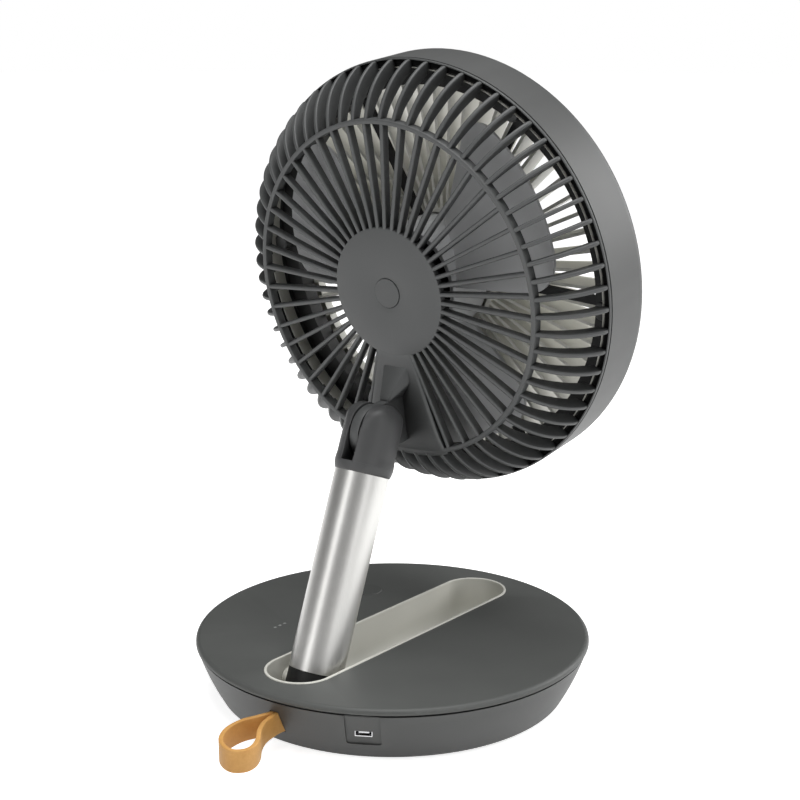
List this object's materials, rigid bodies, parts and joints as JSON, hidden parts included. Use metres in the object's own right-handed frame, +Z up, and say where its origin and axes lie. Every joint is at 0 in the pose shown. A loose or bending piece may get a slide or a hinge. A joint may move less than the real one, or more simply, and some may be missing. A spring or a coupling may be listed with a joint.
{
  "type": "portable camping fan",
  "caption": "Folding cordless table fan: round grilled head on a tube arm that folds into a disc base with a tray, power button, charging port and leather carry loop.",
  "frame": {"origin": "centre of the grip pad's underside, in the middle of the disc base", "axes": "+Z up, the fan blows towards -Y and a little up, hinge axes along X, carry loop towards +Y"},
  "size_m": [0.212, 0.2314, 0.3124],
  "materials": {
    "charcoal_plastic": "fine satin moulded",
    "cover_plastic": "fine satin moulded",
    "dark_plastic": "satin moulded",
    "smoke_plastic": "satin",
    "cream_plastic": "satin moulded",
    "tube_aluminium": "satin anodised",
    "pin_steel": "ground",
    "bracket_steel": "stamped",
    "screw_steel": "plated",
    "nylon": "natural",
    "leather_tan": "smooth with edge dye",
    "grip_rubber": "fine matt",
    "cell_wrap": "shrink wrap",
    "board_green": "solder resist",
    "winding_copper": "enamelled wire",
    "lead_sheath": "matt sheath",
    "light_lens": "clear moulded"
  },
  "bodies": {
    "base": {"arm_tray": "cream_plastic", "base_bottom_shell": "charcoal_plastic", "base_pivot_pin": "pin_steel", "base_screws": "screw_steel", "base_top_cover": "cover_plastic", "battery_cell_inner": "cell_wrap", "battery_cell_outer": "cell_wrap", "battery_cradle": "dark_plastic", "grip_pad": "grip_rubber", "indicator_lights": "light_lens", "leather_loop": "leather_tan", "loop_rivet": "pin_steel", "main_circuit_board": "board_green", "pivot_bracket_left": "bracket_steel", "pivot_bracket_right": "bracket_steel", "pivot_spacers": "nylon", "return_dome": "grip_rubber", "tact_switch": "dark_plastic", "usb_board": "board_green", "usb_socket": "pin_steel"},
    "power_button": {"power_button": "cover_plastic"},
    "arm": {"lower_knuckle": "dark_plastic", "arm_tube": "tube_aluminium", "arm_lead": "lead_sheath", "upper_fork": "charcoal_plastic", "fork_cap": "charcoal_plastic"},
    "hinge_pin": {"head_pivot_pin": "pin_steel", "hinge_washers": "bracket_steel"},
    "head": {"head_ring": "charcoal_plastic", "rear_grille": "charcoal_plastic", "hub_plug": "dark_plastic", "front_grille": "cream_plastic", "front_badge": "cream_plastic", "spoke_frame": "dark_plastic", "frame_screws": "screw_steel", "motor_flange": "bracket_steel", "motor_can": "pin_steel", "front_bearing": "pin_steel", "rear_bearing": "pin_steel", "motor_stator": "winding_copper", "motor_screws": "screw_steel"},
    "impeller": {"impeller": "smoke_plastic", "impeller_nut": "smoke_plastic", "motor_shaft": "pin_steel", "motor_rotor": "bracket_steel"}
  },
  "joints": [
    {"name": "arm_fold", "type": "hinge", "parent": "base", "child": "arm", "pos_m": [0, 0.0599, 0.019], "axis": [1, 0, 0], "range_deg": [0, 68.85]},
    {"name": "head_fold", "type": "hinge", "parent": "arm", "child": "hinge_pin", "pos_m": [0, 0.01566, 0.13334], "axis": [-1, 0, 0], "range_deg": [0, 134.5]},
    {"name": "head_tilt", "type": "hinge", "parent": "hinge_pin", "child": "head", "pos_m": [0, 0.01566, 0.13334], "axis": [-1, 0, 0], "range_deg": [-10, 10]},
    {"name": "impeller_spin", "type": "hinge", "parent": "head", "child": "impeller", "pos_m": [0, -0.05596, 0.20885], "axis": [0, -0.9866, 0.1633], "continuous": true},
    {"name": "power_button_press", "type": "slide", "parent": "base", "child": "power_button", "axis": [0, 0, -1], "range_m": [0, 0.0008], "stiffness_N_per_m": 400, "springref_m": -0.0005}
  ],
  "couplings": [
    {"joint": "head_fold", "follows": "arm_fold", "ratio": 1.9528}
  ]
}
